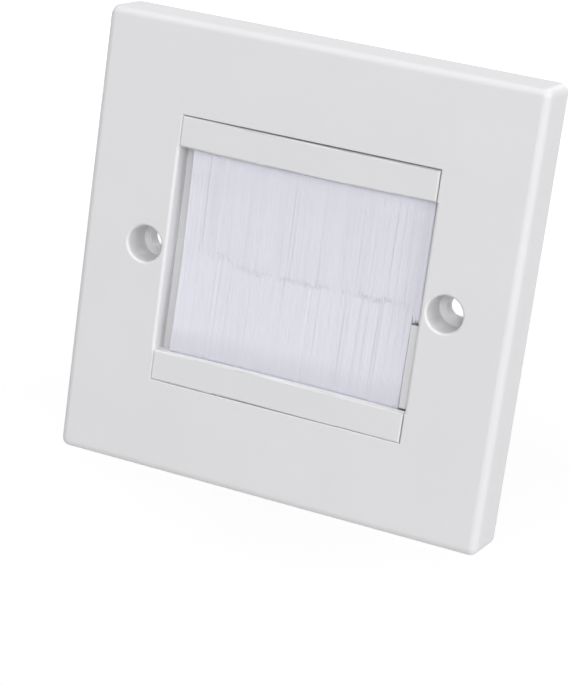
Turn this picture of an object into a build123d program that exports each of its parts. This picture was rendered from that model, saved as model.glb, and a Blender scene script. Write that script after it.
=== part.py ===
from build123d import *
import os
from math import radians, sin, tan

# A square wall plate whose window is closed by two rows of bristles, so that cables can pass the wall.
# Millimetres. X runs to the right, Z runs up, and Y runs into the wall, which lies at Y = 0.

# Screw fixings
fixing_margin = 4.62
fixing_bore = 4.0
head_bore = 6.9
head_floor = 2.5
head_lip_radius = 0.5
boss_wall = 1.45

# Face plate
plate_margin = 12.85
side_draft = 1.1
corner_radius = 1.8
front_edge_radius = 1.5
rim_wall = 2.2
face_wall = 3.0
pocket_corner_radius = 1.0
rib_wall = 1.2
rib_height = 5.0
rib_spacing = 36.0

# Opening that takes the brush frame
opening_height = 50.95
opening_wall = 1.8
opening_edge_radius = 0.2
side_edge_radius = 0.6
ledge_width = 1.5
ledge_depth = 1.5

# Brush frame, which settles to the left and downwards within its clearance
frame_clearance = 0.1
frame_shift = 0.09
frame_drop = 0.08
rail_height = 5.75
rail_bow = 0.1
window_bow = 0.26
rail_edge_radius = 0.35
rail_front_wall = 0.9
rail_rear_wall = 2.9
rail_lip = 0.8
rail_end_wall = 2.3
end_wall_setback = 4.3
side_bar_width = 3.3
bar_clearance = 0.2
stop_setback = 2.0
stop_gap = 0.15
stop_clearance = 2.0

# Snap lugs on the frame, and the slots that they click into
lug_length = 8.0
lug_height = 0.5
lug_depth = 1.8
lug_flat = 0.6
lug_setback = 5.2
lug_spacing = 24.0
lug_clearance = 0.15

# Folded channels and the core wires inside them
channel_width = 4.0
channel_height = 3.4
channel_sheet = 0.5
channel_pinch = 0.1
channel_bend_radius = 0.6
channel_clearance = 0.1
wire_diameter = 1.2
wire_cover = 0.7
wire_clearance = 0.04

# Brush strips, slid into the frame from its right end, and their bristles
upper_strip_length = 48.0
lower_strip_length = 46.6
strip_end_gap = 0.46
bristle_clearance = 0.06
tip_overlap = 2.4
tip_thickness = 1.0
tip_gap = 0.15
tip_unevenness = 0.5
bundle_count = 46
bundle_ridge = 0.22

# The longer strip sets the width of the frame and its opening, and that sets the spacing of the screws,
# which comes to 60.3, as on a single wall box
groove_length = channel_clearance + max(upper_strip_length, lower_strip_length) + strip_end_gap
frame_width = rail_end_wall + groove_length
opening_width = frame_width + 2 * frame_clearance
fixing_pitch = opening_width + 2 * fixing_margin
plate_side = fixing_pitch + 2 * plate_margin

# Other sizes that follow
brush_slot = channel_width + 2 * channel_clearance
frame_depth = rail_front_wall + brush_slot + rail_rear_wall
plate_depth = frame_depth + ledge_depth
back_side = plate_side + 2 * plate_depth * tan(radians(side_draft))
pocket_side = plate_side - 2 * rim_wall
pocket_depth = plate_depth - face_wall
collar_width = opening_width + 2 * opening_wall
collar_height = opening_height + 2 * opening_wall
boss_radius = head_bore / 2 + boss_wall
boss_reach = fixing_pitch / 2 + boss_radius

frame_height = opening_height - 2 * frame_clearance
window_height = frame_height - 2 * rail_height
lug_y = lug_setback - plate_depth

brush_y = rail_front_wall + brush_slot / 2 - plate_depth
strip_start = -frame_shift - frame_width / 2 + rail_end_wall + channel_clearance
slot_height = channel_height + 2 * channel_clearance
slot_base = window_height / 2 + rail_lip
lip_height = rail_lip + window_bow
channel_mouth = slot_base + channel_clearance
channel_back = channel_mouth + channel_height
mouth_width = channel_width - 2 * channel_pinch - 2 * channel_sheet
wire_z = channel_back - channel_sheet - wire_cover - wire_diameter / 2

root_half = channel_width / 2 - channel_sheet - bristle_clearance
mouth_half = mouth_width / 2 - bristle_clearance
tip_reach = tip_overlap / 2 + tip_unevenness
tip_slope = 2 * tip_reach / (channel_mouth + tip_reach)
tip_offset = (tip_gap + tip_slope * mouth_half) / (2 - tip_slope)
brush_back = brush_y + max(mouth_half, tip_offset + tip_thickness)
side_bar_depth = -ledge_depth - brush_back - bar_clearance
stop_start = frame_shift + strip_start + lower_strip_length + stop_gap
stop_width = frame_width / 2 - stop_start
stop_height = window_height / 2 - tip_reach - stop_clearance

# Planes that face the room: the wall, the front, and the back of the brush frame
wall_plane = Plane.XZ
front_plane = Plane.XZ.offset(plate_depth)
ledge_plane = Plane.XZ.offset(ledge_depth)
frame_plane = Plane((-frame_shift, -ledge_depth, -frame_drop), x_dir=(1, 0, 0), z_dir=(0, -1, 0))


def circles_of_radius(part, radius):
    """Circular edges of a part that have the given radius."""
    return part.edges().filter_by(GeomType.CIRCLE).filter_by(lambda edge: abs(edge.radius - radius) < 1e-4)


def bowed_rectangle(width, height, bow):
    """Rectangle whose top and bottom edges curve towards each other, for the outline being drawn."""
    corner = Vector(width / 2, height / 2)
    middle = Vector(0, height / 2 - bow)
    ThreePointArc((-corner.X, corner.Y), middle, corner)
    Line(corner, (corner.X, -corner.Y))
    ThreePointArc((corner.X, -corner.Y), -middle, -corner)
    Line(-corner, (-corner.X, corner.Y))


os.makedirs("parts", exist_ok=True)

# Face plate: a drafted moulding, hollow behind, with ribs and screw bosses left standing in the hollow
with BuildPart() as face_plate:
    with BuildSketch(wall_plane):
        RectangleRounded(back_side, back_side, corner_radius)
    extrude(amount=plate_depth, taper=side_draft)
    fillet(face_plate.faces().sort_by(Axis.Y)[0].edges(), front_edge_radius)

    with BuildSketch(wall_plane):
        RectangleRounded(pocket_side, pocket_side, pocket_corner_radius)
        Rectangle(collar_width, collar_height, mode=Mode.SUBTRACT)
        with GridLocations(fixing_pitch, 0, 2, 1):
            Circle(boss_radius, mode=Mode.SUBTRACT)
    extrude(amount=pocket_depth, mode=Mode.SUBTRACT)

    # Ribs from the collar round the opening, and from the bosses, out to the rim
    with BuildSketch(Plane.XZ.offset(pocket_depth)):
        with GridLocations(rib_spacing, (collar_height + pocket_side) / 2, 2, 2):
            Rectangle(rib_wall, (pocket_side - collar_height) / 2 + rib_wall)
        with GridLocations(boss_reach + pocket_side / 2, 0, 2, 1):
            Rectangle(pocket_side / 2 - boss_reach + rib_wall, rib_wall)
    extrude(amount=-rib_height)

    # The opening, with a ledge at its back that the brush frame sits on
    with BuildSketch(ledge_plane):
        Rectangle(opening_width, opening_height)
    extrude(amount=frame_depth, mode=Mode.SUBTRACT)
    with BuildSketch(wall_plane):
        Rectangle(opening_width - 2 * ledge_width, opening_height - 2 * ledge_width)
    extrude(amount=ledge_depth, mode=Mode.SUBTRACT)
    fillet(face_plate.faces().sort_by(Axis.Y)[0].inner_wires()[0].edges(), opening_edge_radius)

    # Side edges of the opening, rounded between the rails
    with BuildSketch(Plane.XY.offset(-window_height / 2 - frame_drop)):
        for side in (-1, 1):
            edge_x = side * opening_width / 2
            with Locations((edge_x + side * side_edge_radius / 2, side_edge_radius / 2 - plate_depth)):
                Rectangle(side_edge_radius, side_edge_radius)
            with Locations((edge_x + side * side_edge_radius, side_edge_radius - plate_depth)):
                Circle(side_edge_radius, mode=Mode.SUBTRACT)
    extrude(amount=window_height, mode=Mode.SUBTRACT)

    # Slots through the opening's walls for the frame's snap lugs
    with BuildSketch(Plane.XY):
        with Locations((0, lug_y + lug_depth / 2)):
            with GridLocations(lug_spacing, 0, 2, 1):
                Rectangle(lug_length + 2 * lug_clearance, lug_depth + 2 * lug_clearance)
    extrude(amount=opening_height / 2 + opening_wall, both=True, mode=Mode.SUBTRACT)

    # Screw holes, deep enough to sink the heads, with a softened lip
    with Locations(front_plane):
        with GridLocations(fixing_pitch, 0, 2, 1):
            CounterBoreHole(fixing_bore / 2, head_bore / 2, plate_depth - head_floor)
    fillet(circles_of_radius(face_plate, head_bore / 2).group_by(Axis.Y)[0], head_lip_radius)
face_plate.part.label = "face_plate"
export_step(face_plate.part, "parts/face_plate.step")

# Brush frame: two slightly bowed rails flush with the plate's front, tied by side bars set well back,
# with a wall at the end that the brush strips are slid against, and a stop beside the shorter lower row
with BuildPart() as brush_frame:
    with BuildSketch(frame_plane):
        with BuildLine():
            bowed_rectangle(frame_width, frame_height, rail_bow)
        make_face()
        with BuildLine():
            bowed_rectangle(frame_width, window_height, window_bow)
        make_face(mode=Mode.SUBTRACT)
    extrude(amount=frame_depth)
    fillet(brush_frame.faces().group_by(Axis.Y)[0].edges(), rail_edge_radius)
    with BuildSketch(frame_plane):
        with GridLocations(frame_width - side_bar_width, 0, 2, 1):
            Rectangle(side_bar_width, window_height)
    extrude(amount=side_bar_depth)
    with BuildSketch(frame_plane):
        with Locations(((rail_end_wall - frame_width) / 2, 0)):
            Rectangle(rail_end_wall, window_height)
    extrude(amount=frame_depth - end_wall_setback)
    with BuildSketch(frame_plane):
        with Locations((stop_start, -window_height / 2)):
            Rectangle(stop_width, stop_height, align=Align.MIN)
    extrude(amount=frame_depth - stop_setback)

    # Grooves for the brush strips, closed at the left end and open at the right
    with BuildSketch(Plane.YZ.offset(frame_width / 2 - frame_shift)):
        for side in (-1, 1):
            with Locations((brush_y, side * (slot_base + slot_height / 2) - frame_drop)):
                Rectangle(brush_slot, slot_height)
            with Locations((brush_y, side * (slot_base - lip_height / 2) - frame_drop)):
                Rectangle(mouth_width, lip_height)
    extrude(amount=-groove_length, mode=Mode.SUBTRACT)

    # Snap lugs with a ramp on the side that enters first
    for side in (-1, 1):
        for end in (-1, 1):
            root = side * (frame_height / 2 - rail_bow - lug_height) - frame_drop
            crest = side * (frame_height / 2 + lug_height) - frame_drop
            with BuildSketch(Plane.YZ.offset(end * lug_spacing / 2 - frame_shift)):
                Polygon(
                    (lug_y, root),
                    (lug_y, crest),
                    (lug_y + lug_flat, crest),
                    (lug_y + lug_depth, root),
                    align=None,
                )
            extrude(amount=lug_length / 2, both=True)
brush_frame.part.label = "brush_frame"
export_step(brush_frame.part, "parts/brush_frame.step")


def strip_section(half_heights_and_widths, side):
    """Corners of a section that is symmetrical about the brush's own plane, on one side of the window."""
    right = [(brush_y + width / 2, side * z - frame_drop) for z, width in half_heights_and_widths]
    left = [(brush_y - width / 2, side * z - frame_drop) for z, width in reversed(half_heights_and_widths)]
    return right + left


def channel(side, length):
    """Sheet folded round the roots of one row of bristles, its legs pinched together at the mouth."""
    pinched = channel_width - 2 * channel_pinch
    outside = strip_section([(channel_mouth, pinched), (channel_back, channel_width)], side)
    inside = strip_section(
        [
            (channel_mouth, mouth_width),
            (channel_back - channel_sheet, channel_width - 2 * channel_sheet),
        ],
        side,
    )
    with BuildPart() as strip:
        with BuildSketch(Plane.YZ.offset(strip_start)):
            Polygon(*outside, align=None)
            Polygon(*inside, align=None, mode=Mode.SUBTRACT)
        extrude(amount=length)
        folds = strip.edges().filter_by(Axis.X).group_by(Axis.Z)
        fillet(folds[-1] if side > 0 else folds[0], channel_bend_radius)
    return strip.part


def core_wire(side, length):
    """Round wire that the bristles are folded over."""
    with BuildPart() as wire:
        with BuildSketch(Plane.YZ.offset(strip_start)):
            with Locations((brush_y, side * wire_z - frame_drop)):
                Circle(wire_diameter / 2)
        extrude(amount=length)
    return wire.part


def bundle_outline(front, back, length):
    """Outline of a packed row of bristle bundles, ridged on both faces, in the row's X and Y."""
    pitch = length / bundle_count
    near = []
    far = []
    for bundle in range(bundle_count):
        start = strip_start + bundle * pitch
        near += [(start, front + bundle_ridge), (start + pitch / 2, front)]
        far += [(start, back - bundle_ridge), (start + pitch / 2, back)]
    end = strip_start + length
    near.append((end, front + bundle_ridge))
    far.append((end, back - bundle_ridge))
    return near + far[::-1]


def tip_height(bundle):
    """Height at which one bundle of the upper row is trimmed, a little uneven along the row."""
    wave = 0.6 * sin(1.9 * bundle) + 0.4 * sin(0.35 * bundle)
    return tip_unevenness * wave - tip_overlap / 2


def trim_outline(side, length):
    """Stepped outline of what is trimmed off past the tips, in the row's X and Z."""
    pitch = length / bundle_count
    edge = []
    for bundle in range(bundle_count):
        z = side * tip_height(bundle) - frame_drop
        edge += [(strip_start + bundle * pitch, z), (strip_start + (bundle + 1) * pitch, z)]
    far_z = -side * tip_reach - frame_drop
    return edge + [(strip_start + length, far_z), (strip_start, far_z)]


def bristles(side, length):
    """One row of bristles, from the fold over the wire to the tips, the upper row in front of the lower."""
    near_tip = tip_offset if side < 0 else -tip_offset - tip_thickness
    sections = [
        (channel_back - channel_sheet - bristle_clearance, -root_half, root_half),
        (channel_mouth, -mouth_half, mouth_half),
        (-tip_reach, near_tip, near_tip + tip_thickness),
    ]
    with BuildPart() as row:
        for z, front, back in sections:
            with BuildSketch(Plane.XY.offset(side * z - frame_drop)):
                Polygon(*bundle_outline(brush_y + front, brush_y + back, length), align=None)
        loft(ruled=True)
        with BuildSketch(Plane.YZ.offset(strip_start)):
            with Locations((brush_y, side * wire_z - frame_drop)):
                Circle(wire_diameter / 2 + wire_clearance)
        extrude(amount=length, mode=Mode.SUBTRACT)
        with BuildSketch(wall_plane):
            Polygon(*trim_outline(side, length), align=None)
        extrude(amount=plate_depth, mode=Mode.SUBTRACT)
    return row.part


# The upper strip and the lower one, each slid against the closed end of its groove
for name, side, length in (("upper", 1, upper_strip_length), ("lower", -1, lower_strip_length)):
    strip = {
        "channel": channel(side, length),
        "core_wire": core_wire(side, length),
        "bristles": bristles(side, length),
    }
    for piece, part in strip.items():
        part.label = f"{name}_{piece}"
        export_step(part, f"parts/{part.label}.step")
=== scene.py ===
import math

import bpy
import numpy as np
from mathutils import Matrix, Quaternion, Vector

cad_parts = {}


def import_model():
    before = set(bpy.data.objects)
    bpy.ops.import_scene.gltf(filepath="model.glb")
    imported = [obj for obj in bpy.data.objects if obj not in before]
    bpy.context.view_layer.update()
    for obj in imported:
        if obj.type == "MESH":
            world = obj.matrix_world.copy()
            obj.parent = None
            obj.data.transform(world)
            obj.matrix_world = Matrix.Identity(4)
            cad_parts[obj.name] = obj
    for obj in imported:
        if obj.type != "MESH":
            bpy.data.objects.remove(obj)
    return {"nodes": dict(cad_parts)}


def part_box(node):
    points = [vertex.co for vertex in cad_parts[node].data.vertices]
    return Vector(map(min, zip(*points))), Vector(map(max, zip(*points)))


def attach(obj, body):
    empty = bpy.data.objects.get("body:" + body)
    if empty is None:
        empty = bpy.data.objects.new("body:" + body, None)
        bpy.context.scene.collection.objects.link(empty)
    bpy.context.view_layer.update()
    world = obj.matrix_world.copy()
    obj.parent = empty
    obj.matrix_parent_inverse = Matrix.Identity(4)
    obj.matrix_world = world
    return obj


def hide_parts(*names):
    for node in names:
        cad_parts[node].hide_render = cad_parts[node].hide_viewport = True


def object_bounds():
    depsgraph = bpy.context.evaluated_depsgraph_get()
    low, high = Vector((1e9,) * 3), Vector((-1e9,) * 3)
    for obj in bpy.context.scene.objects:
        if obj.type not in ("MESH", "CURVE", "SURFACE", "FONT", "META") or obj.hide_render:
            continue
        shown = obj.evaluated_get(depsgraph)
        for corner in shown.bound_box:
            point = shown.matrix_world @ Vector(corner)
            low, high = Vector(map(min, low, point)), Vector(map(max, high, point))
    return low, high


# A white wall plate whose window is closed by two rows of nylon bristles.
# Metres, in the part's own frame: X to the right, Y into the wall, Z up.

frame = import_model()
cad_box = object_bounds()

MM = 0.001

# Camera: where it looks on the plate's front, from which side, and how far off
IMAGE_HEIGHT_PX = 686
FOCAL_LENGTH_PX = 2348.0
SENSOR_SIZE_MM = 36.0
NEAR_LIMIT = 10.0 * MM
AIM = Vector((0.59 * MM, -9.5 * MM, -12.2 * MM))
AZIMUTH = math.radians(21.86)
ELEVATION = math.radians(15.17)
ROLL = math.radians(7.955)
DISTANCE = 430.96 * MM

# Colours: the pale and the deep shade of each material
PLATE_PALE = (0.80, 0.80, 0.815)
PLATE_DEEP = (0.787, 0.787, 0.80)
FRAME_PALE = (0.79, 0.79, 0.805)
FRAME_DEEP = (0.777, 0.777, 0.79)
NYLON_PALE = (0.852, 0.852, 0.927)
NYLON_DEEP = (0.822, 0.822, 0.897)
CHANNEL_PALE = (0.66, 0.67, 0.68)
CHANNEL_DEEP = (0.55, 0.56, 0.58)
WIRE_PALE = (0.62, 0.63, 0.64)
WIRE_DEEP = (0.52, 0.53, 0.54)

# Surfaces: noise in grains a metre, drawn out along the axes whose stretch is small
PLASTIC_CLOUD = 55.0
PLASTIC_GRAIN = 2600.0
PLASTIC_ROUGHNESS = (0.44, 0.52)
PLASTIC_RELIEF = 0.006 * MM
NYLON_GRAIN = 9000.0
NYLON_STRETCH = (1.0, 1.0, 0.03)
NYLON_ROUGHNESS = (0.38, 0.5)
STEEL_GRAIN = 6000.0
CHANNEL_STRETCH = (0.05, 1.0, 1.0)
WIRE_STRETCH = (0.02, 1.0, 1.0)
STEEL_ROUGHNESS = (0.28, 0.42)
STEEL_RELIEF = 0.003 * MM

# Filaments: close layers, every second one shifted. Stagger, shift and jitter are shares of the spacing,
# and rings of the length. The last two rings lie close, to keep the tip's edge sharp.
FILAMENT_LAYERS = 7
FILAMENTS_PER_LAYER = 480
FILAMENT_RADIUS = 0.076 * MM
FILAMENT_RADIUS_RANGE = (0.85, 1.15)
FILAMENT_RINGS = (0.0, 0.35, 0.7, 0.995, 1.0)
FILAMENT_SIDES = 5
FILAMENT_STAGGER = 0.25
FILAMENT_LAYER_SHIFT = 0.5
FILAMENT_JITTER = 0.1
ROOT_INSET = 1.0 * MM
ROOT_HALF_DEPTH = 1.3 * MM
END_SPREAD = 0.06 * MM
BEND = 0.015 * MM
BEND_SHARES = (1.0, 0.4, 0.0)

# Tufts: bundles of uneven width, whose filaments have part of their lean, length and shade in common
TUFTS_PER_ROW = 46
TUFT_WIDTH_RANGE = (0.5, 1.6)
TUFT_LEAN = 0.008 * MM
TUFT_DEPTH_SPREAD = 0.008 * MM
TUFT_LENGTH_SPREAD = 0.12 * MM
TUFT_SHADE_SHARE = 0.5

# Single tips: their scatter sideways, in depth and in length, and the few strays that lean further
TIP_SCATTER = 0.012 * MM
TIP_DEPTH_SCATTER = 0.008 * MM
TIP_LENGTH_SCATTER = 0.4 * MM
STRAY_SHARE = 0.001
STRAY_LEAN = 0.6 * MM

# Tips along each row: the place, their height and how far back they lie, in millimetres
UPPER_TIP_LINE = (
    (-23.9, -0.7, 0.14),
    (-18.2, -0.15, 0.14),
    (-14.7, 0.65, 0.1),
    (-13.7, 0.55, 0.1),
    (-12.7, -1.1, 0.1),
    (-11.0, -1.1, 0.1),
    (-10.0, -1.08, 0.02),
    (-5.8, -1.03, 0.03),
    (-4.2, -1.0, 0.15),
    (-2.7, -1.0, 0.02),
    (5.0, -0.95, 0.0),
    (9.0, -0.9, 0.12),
    (12.0, -0.85, 0.12),
    (14.0, -0.8, 0.0),
    (19.9, -0.55, 0.02),
    (23.2, -0.15, 0.12),
    (23.7, -2.7, 0.0),
    (25.0, -2.9, 0.0),
)
LOWER_TIP_LINE = (
    (-23.9, 1.5, 0.0),
    (-10.0, 1.1, 0.0),
    (4.0, 1.6, 0.0),
    (23.0, 1.3, 0.0),
)

# Tips of the front and of the back layer, from the middle of the row's channel, and each row's seed
UPPER_TIP_DEPTHS = (-0.8 * MM, 0.2 * MM)
LOWER_TIP_DEPTHS = (-0.6 * MM, 0.95 * MM)
UPPER_SEED = 11
LOWER_SEED = 23

# Studio: a floor whose glow grows from the first radius to the second, and light from all round
FLOOR_DROP = 70.0 * MM
FLOOR_SIDE = 3.4
FLOOR_COLOUR = (0.62, 0.62, 0.62, 1.0)
FLOOR_ROUGHNESS = 0.9
FLOOR_GLOW_RADII = (0.3, 1.4)
FLOOR_GLOW = (0.49, 0.85)
WHITE = (1.0, 1.0, 1.0, 1.0)
AMBIENT = 0.12

# Lamps: the name, the place, the width and height, and the watts
LAMPS = (
    ("front_lamp", (0.8, -2.06, 0.7), 1.0, 1.0, 20.5),
    ("right_lamp", (2.4, -0.3, 0.7), 0.7, 1.4, 13.5),
    ("front_right_lamp", (2.15, -1.15, 0.5), 0.8, 1.2, 13.0),
    ("overhead_lamp", (0.0, -0.2, 1.1), 0.6, 0.4, 4.1),
    ("high_left_lamp", (-0.35, -0.5, 0.75), 0.6, 0.4, 1.35),
    ("back_left_lamp", (-1.2, 0.9, 0.15), 0.5, 0.4, 10.0),
    ("high_back_lamp", (0.35, 1.4, 1.0), 0.5, 0.5, 5.0),
)


def new_material(name):
    """A new node material with a Principled shader, as (material, nodes, links, shader)."""
    material = bpy.data.materials.new(name)
    material.use_nodes = True
    nodes = material.node_tree.nodes
    return material, nodes, material.node_tree.links, nodes["Principled BSDF"]


def noise(nodes, links, scale, detail=2.0, stretch=(1.0, 1.0, 1.0)):
    """The output of a noise texture on the part's own coordinates, in grains a metre."""
    place = nodes.new("ShaderNodeTexCoord")
    mapping = nodes.new("ShaderNodeMapping")
    mapping.inputs["Scale"].default_value = stretch
    texture = nodes.new("ShaderNodeTexNoise")
    texture.inputs["Scale"].default_value = scale
    texture.inputs["Detail"].default_value = detail
    links.new(place.outputs["Object"], mapping.inputs["Vector"])
    links.new(mapping.outputs["Vector"], texture.inputs["Vector"])
    return texture.outputs["Fac"]


def ramp(nodes, links, factor, low, high, start=0.35, end=0.65):
    """A colour from low to high, as a factor goes from start to end, by default the middle of a noise."""
    node = nodes.new("ShaderNodeValToRGB")
    node.color_ramp.elements[0].position = start
    node.color_ramp.elements[0].color = (*low, 1.0)
    node.color_ramp.elements[1].position = end
    node.color_ramp.elements[1].color = (*high, 1.0)
    links.new(factor, node.inputs["Fac"])
    return node.outputs["Color"]


def spread(nodes, links, factor, low, high, start=0.3, end=0.7):
    """A value from low to high, as a factor goes from start to end, by default the middle of a noise."""
    node = nodes.new("ShaderNodeMapRange")
    node.inputs["From Min"].default_value = start
    node.inputs["From Max"].default_value = end
    node.inputs["To Min"].default_value = low
    node.inputs["To Max"].default_value = high
    links.new(factor, node.inputs["Value"])
    return node.outputs["Result"]


def combine(nodes, links, operation, first, second):
    """Two values taken together by a maths operation."""
    node = nodes.new("ShaderNodeMath")
    node.operation = operation
    links.new(first, node.inputs[0])
    links.new(second, node.inputs[1])
    return node.outputs["Value"]


def bump(nodes, links, shader, height, distance):
    """Surface relief from a height, as deep as the distance."""
    node = nodes.new("ShaderNodeBump")
    node.inputs["Distance"].default_value = distance
    links.new(height, node.inputs["Height"])
    links.new(node.outputs["Normal"], shader.inputs["Normal"])


def moulded_plastic(name, pale, deep):
    """White moulding with a faint cloudiness and the fine grain of a spark-eroded mould."""
    material, nodes, links, shader = new_material(name)
    cloud = noise(nodes, links, PLASTIC_CLOUD, detail=3.0)
    links.new(ramp(nodes, links, cloud, deep, pale), shader.inputs["Base Color"])
    grain = noise(nodes, links, PLASTIC_GRAIN)
    links.new(spread(nodes, links, grain, *PLASTIC_ROUGHNESS), shader.inputs["Roughness"])
    bump(nodes, links, shader, grain, PLASTIC_RELIEF)
    return material


def bristle_nylon():
    """Nylon filaments with a cool tint, each a little different in shade."""
    material, nodes, links, shader = new_material("bristle_nylon")
    shade = nodes.new("ShaderNodeAttribute")
    shade.attribute_name = "shade"
    colour = ramp(nodes, links, shade.outputs["Fac"], NYLON_DEEP, NYLON_PALE, start=0.0, end=1.0)
    links.new(colour, shader.inputs["Base Color"])
    streak = noise(nodes, links, NYLON_GRAIN, stretch=NYLON_STRETCH)
    links.new(spread(nodes, links, streak, *NYLON_ROUGHNESS), shader.inputs["Roughness"])
    return material


def plated_steel(name, pale, deep, stretch):
    """Zinc-plated steel with drawing lines along the strip."""
    material, nodes, links, shader = new_material(name)
    lines = noise(nodes, links, STEEL_GRAIN, detail=3.0, stretch=stretch)
    links.new(ramp(nodes, links, lines, deep, pale), shader.inputs["Base Color"])
    links.new(spread(nodes, links, lines, *STEEL_ROUGHNESS), shader.inputs["Roughness"])
    shader.inputs["Metallic"].default_value = 1.0
    bump(nodes, links, shader, lines, STEEL_RELIEF)
    return material


def dress(node, material):
    """Give a CAD node a material."""
    mesh = frame["nodes"][node].data
    mesh.materials.clear()
    mesh.materials.append(material)


def filament_mesh(name, roots, tips, bends, radii, turns, shades):
    """One mesh of closed tubes, each from its root to its tip and bent most at half its length."""
    count = len(roots)
    rings = np.array(FILAMENT_RINGS)
    sides = FILAMENT_SIDES
    along = rings[None, :, None]
    bow = 4 * along * (1 - along)
    line = roots[:, None] + (tips - roots)[:, None] * along + bends[:, None] * bow
    # A tube that runs down is wound the other way, so that its faces look outward
    winding = np.sign(tips[:, 2] - roots[:, 2])
    angles = turns[:, None] + winding[:, None] * np.arange(sides) * 2 * math.pi / sides
    circle = np.stack([np.cos(angles), np.sin(angles), np.zeros_like(angles)], axis=-1)
    points = line[:, :, None, :] + circle[:, None] * radii[:, None, None, None]
    points = points.reshape(-1, 3)

    first = np.arange(count)[:, None] * len(rings) * sides
    faces = []
    for ring in range(len(rings) - 1):
        for side in range(sides):
            low = ring * sides + side
            low_next = ring * sides + (side + 1) % sides
            faces.append(first + np.array([low, low_next, low_next + sides, low + sides]))
    quads = np.concatenate(faces).tolist()
    root_caps = (first + np.arange(sides)[::-1]).tolist()
    tip_caps = (first + (len(rings) - 1) * sides + np.arange(sides)).tolist()

    mesh = bpy.data.meshes.new(name)
    mesh.from_pydata(points.tolist(), [], quads + root_caps + tip_caps)
    attribute = mesh.attributes.new("shade", "FLOAT", "POINT")
    attribute.data.foreach_set("value", np.repeat(shades, len(rings) * sides).astype(np.float32))
    mesh.shade_smooth()
    return mesh


def bristle_row(node, tip_line, tip_depths, seed):
    """A row of filaments in the place of a CAD node, from inside its channel to its tips."""
    random = np.random.default_rng(seed)
    low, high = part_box(node)
    right_end = high.x + END_SPREAD
    root_z = high.z - ROOT_INSET if node.startswith("upper") else low.z + ROOT_INSET
    middle_y = sum(corner.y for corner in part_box(node.replace("bristles", "channel"))) / 2
    count = FILAMENT_LAYERS * FILAMENTS_PER_LAYER

    # Roots, in layers from the front to the back
    layer, place = np.divmod(np.arange(count), FILAMENTS_PER_LAYER)
    spacing = (right_end - low.x) / FILAMENTS_PER_LAYER
    stagger = FILAMENT_STAGGER + FILAMENT_LAYER_SHIFT * (layer % 2)
    stagger += FILAMENT_JITTER * random.uniform(-1.0, 1.0, count)
    root_x = low.x + (place + stagger) * spacing
    depth = layer / (FILAMENT_LAYERS - 1)
    root_y = middle_y + (2 * depth - 1) * ROOT_HALF_DEPTH

    # Tufts, and what each filament has from its own
    ends = np.cumsum(random.uniform(*TUFT_WIDTH_RANGE, TUFTS_PER_ROW))
    ends = low.x + ends / ends[-1] * (right_end - low.x)
    tuft = np.minimum(np.searchsorted(ends, root_x), TUFTS_PER_ROW - 1)
    lean = random.normal(0.0, TUFT_LEAN, TUFTS_PER_ROW)[tuft]
    backward = random.normal(0.0, TUFT_DEPTH_SPREAD, TUFTS_PER_ROW)[tuft]
    higher = random.normal(0.0, TUFT_LENGTH_SPREAD, TUFTS_PER_ROW)[tuft]
    tuft_shade = random.uniform(0.0, 1.0, TUFTS_PER_ROW)[tuft]

    # Tips, scattered about the row's line
    stray = random.uniform(size=count) < STRAY_SHARE
    scatter = np.where(stray, STRAY_LEAN, TIP_SCATTER)
    tip_x = root_x + lean + random.normal(0.0, 1.0, count) * scatter
    tip_x = np.clip(tip_x, low.x + FILAMENT_RADIUS, right_end)
    line_x, line_z, line_y = (np.array(values) * MM for values in zip(*tip_line))
    tip_z = np.interp(tip_x, line_x, line_z) + higher + random.normal(0.0, TIP_LENGTH_SCATTER, count)
    tip_front, tip_back = tip_depths
    tip_y = middle_y + tip_front + depth * (tip_back - tip_front) + backward
    tip_y += np.interp(tip_x, line_x, line_y) + random.normal(0.0, TIP_DEPTH_SCATTER, count)

    roots = np.stack([root_x, root_y, np.full(count, root_z)], axis=-1)
    tips = np.stack([tip_x, tip_y, tip_z], axis=-1)
    bends = random.normal(0.0, BEND, (count, 3)) * BEND_SHARES
    radii = FILAMENT_RADIUS * random.uniform(*FILAMENT_RADIUS_RANGE, count)
    turns = random.uniform(0.0, 2 * math.pi, count)
    shades = TUFT_SHADE_SHARE * tuft_shade + (1 - TUFT_SHADE_SHARE) * random.uniform(0.0, 1.0, count)
    mesh = filament_mesh(f"{node}_filaments", roots, tips, bends, radii, turns, shades)
    row = bpy.data.objects.new(f"{node}_filaments", mesh)
    bpy.context.scene.collection.objects.link(row)
    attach(row, "root")
    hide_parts(node)
    return row


def seen_directly(nodes, links):
    """1 for rays that show a surface straight, mirrored or through glass, and 0 for the others."""
    path = nodes.new("ShaderNodeLightPath")
    shown = path.outputs["Is Camera Ray"]
    for kind in ("Is Glossy Ray", "Is Transmission Ray"):
        shown = combine(nodes, links, "MAXIMUM", shown, path.outputs[kind])
    return shown


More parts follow.
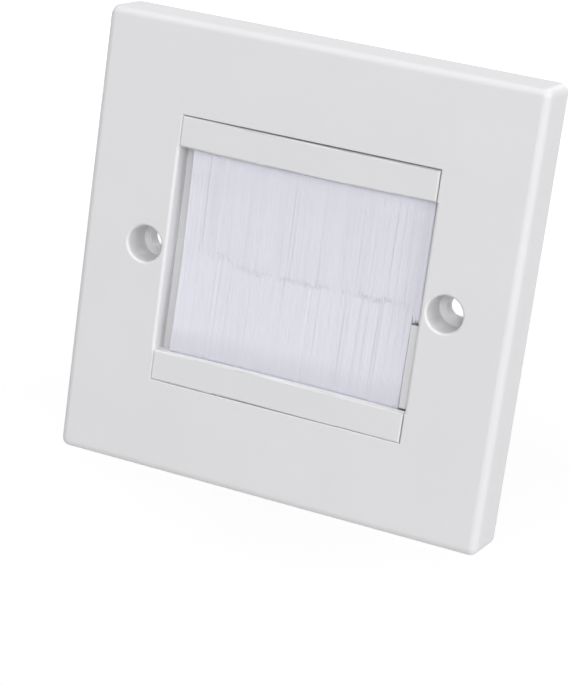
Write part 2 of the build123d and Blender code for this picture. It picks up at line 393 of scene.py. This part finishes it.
def floor():
    """A wide floor that shows white and, where it glows less, the part's faint shadow."""
    material, nodes, links, shader = new_material("floor_paint")
    shader.inputs["Base Color"].default_value = FLOOR_COLOUR
    shader.inputs["Roughness"].default_value = FLOOR_ROUGHNESS
    shader.inputs["Specular IOR Level"].default_value = 0.0
    shader.inputs["Emission Color"].default_value = WHITE
    place = nodes.new("ShaderNodeTexCoord")
    reach = nodes.new("ShaderNodeVectorMath")
    reach.operation = "LENGTH"
    links.new(place.outputs["Object"], reach.inputs[0])
    level = spread(nodes, links, reach.outputs["Value"], *FLOOR_GLOW, *FLOOR_GLOW_RADII)
    glow = combine(nodes, links, "MULTIPLY", seen_directly(nodes, links), level)
    links.new(glow, shader.inputs["Emission Strength"])

    half = FLOOR_SIDE / 2
    floor_z = cad_box[0][2] - FLOOR_DROP
    corners = [(x, y, floor_z) for x, y in ((-half, -half), (half, -half), (half, half), (-half, half))]
    mesh = bpy.data.meshes.new("floor")
    mesh.from_pydata(corners, [], [(0, 1, 2, 3)])
    mesh.materials.append(material)
    plane = bpy.data.objects.new("floor", mesh)
    bpy.context.scene.collection.objects.link(plane)


def world():
    """Even light from all round, in place of which the camera sees white."""
    surroundings = bpy.data.worlds.new("studio")
    bpy.context.scene.world = surroundings
    surroundings.use_nodes = True
    nodes = surroundings.node_tree.nodes
    links = surroundings.node_tree.links
    background = nodes["Background"]
    background.inputs["Color"].default_value = WHITE
    level = spread(nodes, links, seen_directly(nodes, links), AMBIENT, 1.0, start=0.0, end=1.0)
    links.new(level, background.inputs["Strength"])


def soft_box(name, place, width, height, watts):
    """A rectangular lamp that points at the frame's origin, in the middle of the part's back."""
    light = bpy.data.lights.new(name, "AREA")
    light.shape = "RECTANGLE"
    light.size = width
    light.size_y = height
    light.energy = watts
    lamp = bpy.data.objects.new(name, light)
    lamp.location = place
    lamp.rotation_euler = (-Vector(place)).to_track_quat("-Z", "Y").to_euler()
    bpy.context.scene.collection.objects.link(lamp)


def camera():
    """The photograph's camera, rolled so that the plate leans to the right."""
    data = bpy.data.cameras.new("camera")
    # The sensor's size belongs to the picture's longer side, which is its height
    data.sensor_width = SENSOR_SIZE_MM
    data.lens = FOCAL_LENGTH_PX * SENSOR_SIZE_MM / IMAGE_HEIGHT_PX
    data.clip_start = NEAR_LIMIT
    outward = Vector(
        (
            math.sin(AZIMUTH) * math.cos(ELEVATION),
            -math.cos(AZIMUTH) * math.cos(ELEVATION),
            math.sin(ELEVATION),
        )
    )
    eye = bpy.data.objects.new("camera", data)
    eye.location = AIM + DISTANCE * outward
    eye.rotation_mode = "QUATERNION"
    eye.rotation_quaternion = (-outward).to_track_quat("-Z", "Y") @ Quaternion((0, 0, 1), ROLL)
    bpy.context.scene.collection.objects.link(eye)
    bpy.context.scene.camera = eye


dress("face_plate", moulded_plastic("plate_plastic", PLATE_PALE, PLATE_DEEP))
dress("brush_frame", moulded_plastic("frame_plastic", FRAME_PALE, FRAME_DEEP))
channel_steel = plated_steel("channel_steel", CHANNEL_PALE, CHANNEL_DEEP, CHANNEL_STRETCH)
wire_steel = plated_steel("wire_steel", WIRE_PALE, WIRE_DEEP, WIRE_STRETCH)
for side in ("upper", "lower"):
    dress(f"{side}_channel", channel_steel)
    dress(f"{side}_core_wire", wire_steel)

nylon = bristle_nylon()
for node, tip_line, tip_depths, seed in (
    ("upper_bristles", UPPER_TIP_LINE, UPPER_TIP_DEPTHS, UPPER_SEED),
    ("lower_bristles", LOWER_TIP_LINE, LOWER_TIP_DEPTHS, LOWER_SEED),
):
    bristle_row(node, tip_line, tip_depths, seed).data.materials.append(nylon)

floor()
world()
for lamp in LAMPS:
    soft_box(*lamp)
camera()
bpy.context.scene.view_settings.view_transform = "Standard"
